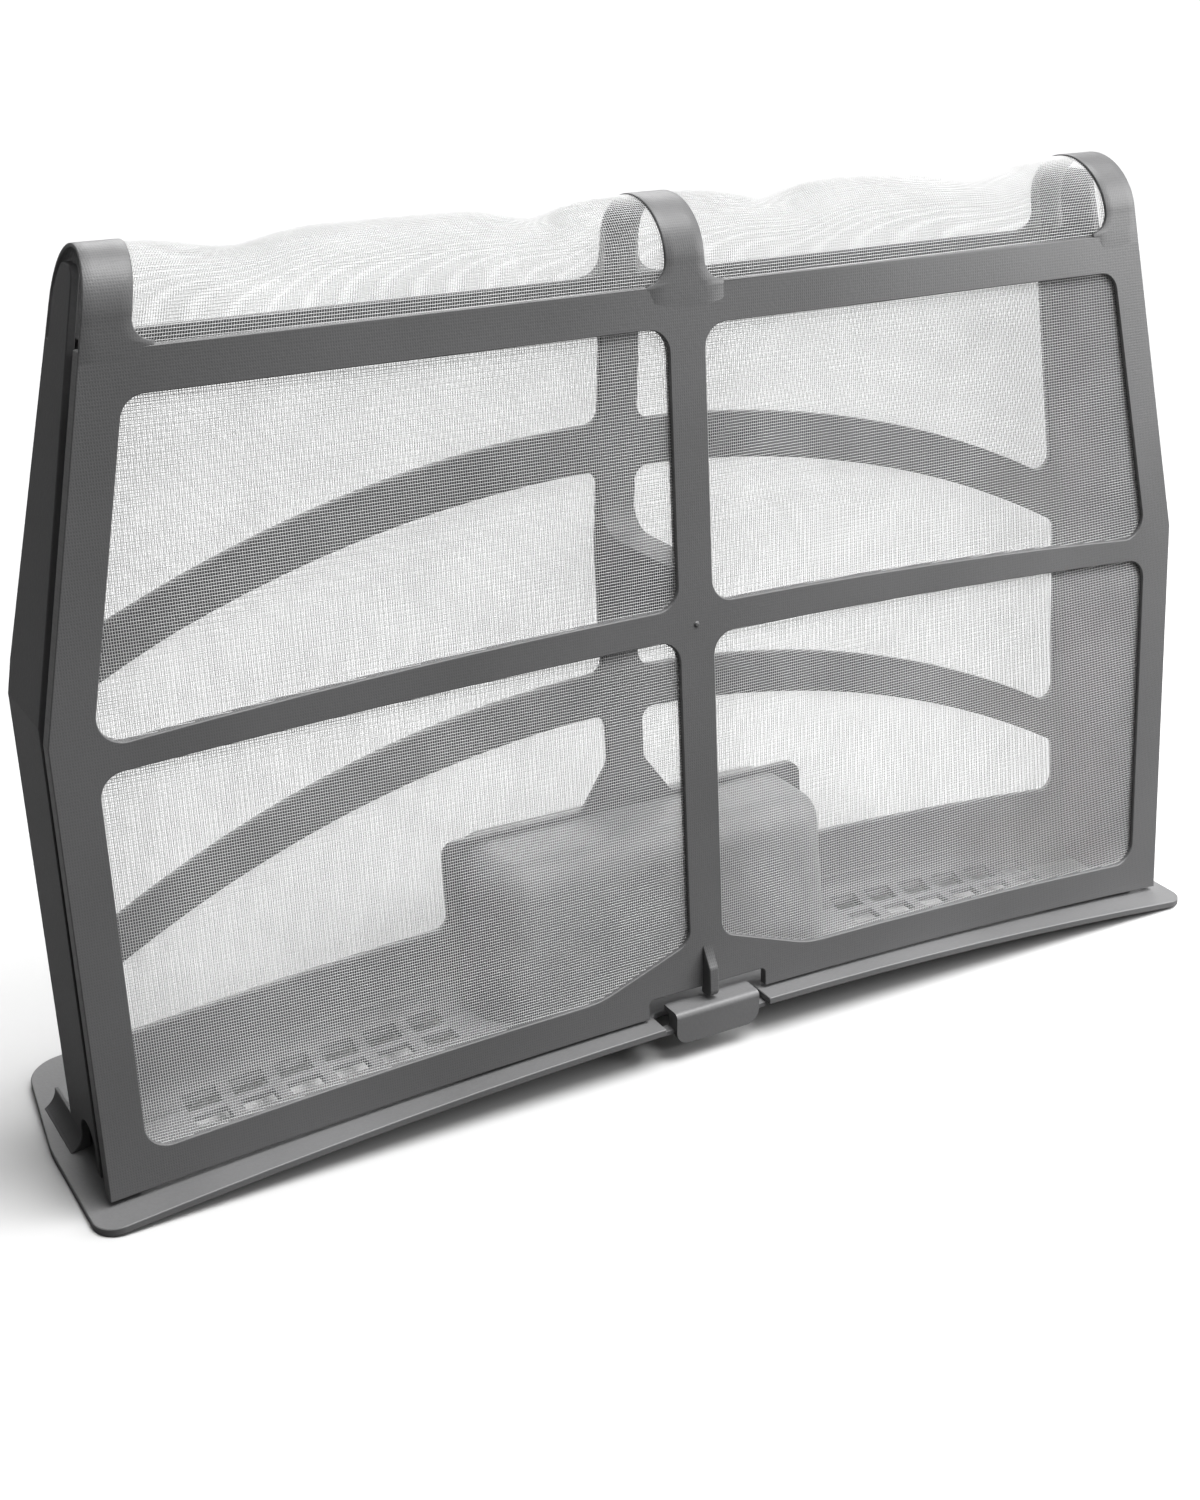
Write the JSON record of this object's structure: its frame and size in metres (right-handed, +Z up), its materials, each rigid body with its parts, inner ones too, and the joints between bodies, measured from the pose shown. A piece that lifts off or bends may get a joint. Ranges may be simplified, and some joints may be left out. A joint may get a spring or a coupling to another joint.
{
  "type": "tumble dryer lint filter",
  "caption": "Folding lint filter of a tumble dryer: mesh leaves in plastic frames joined by a living hinge, on an arched handle plate with a finger cup, air slots and a latch tab.",
  "frame": {"origin": "under the middle of the handle plate's footprint, on the table it stands on", "axes": "+X along the plate, +Z up with the filter standing upside down on its plate, the leaf that opens on the -Y side"},
  "size_m": [0.341, 0.0804, 0.2215],
  "materials": {
    "grey_plastic": "matte mid grey polypropylene",
    "filter_cloth": "pale open polyester weave"
  },
  "bodies": {
    "base": {"handle_plate": "grey_plastic", "rear_frame": "grey_plastic", "rear_mesh": "filter_cloth", "strap_left": "grey_plastic", "strap_centre": "grey_plastic", "strap_right": "grey_plastic", "top_mesh_left": "filter_cloth", "top_mesh_right": "filter_cloth"},
    "leaf": {"front_frame": "grey_plastic", "front_mesh": "filter_cloth"},
    "latch": {"latch_tab": "grey_plastic"}
  },
  "joints": [
    {"name": "leaf_hinge", "type": "hinge", "parent": "base", "child": "leaf", "pos_m": [0, -0.00025, 0.207], "axis": [-1, 0, 0], "range_deg": [0, 110], "deforming": ["strap_left", "strap_centre", "strap_right", "top_mesh_left", "top_mesh_right"]},
    {"name": "latch_turn", "type": "hinge", "parent": "base", "child": "latch", "pos_m": [0, -0.03715, 0.0092], "axis": [-1, 0, 0], "range_deg": [0, 14], "stiffness_Nm_per_rad": 0.05}
  ]
}
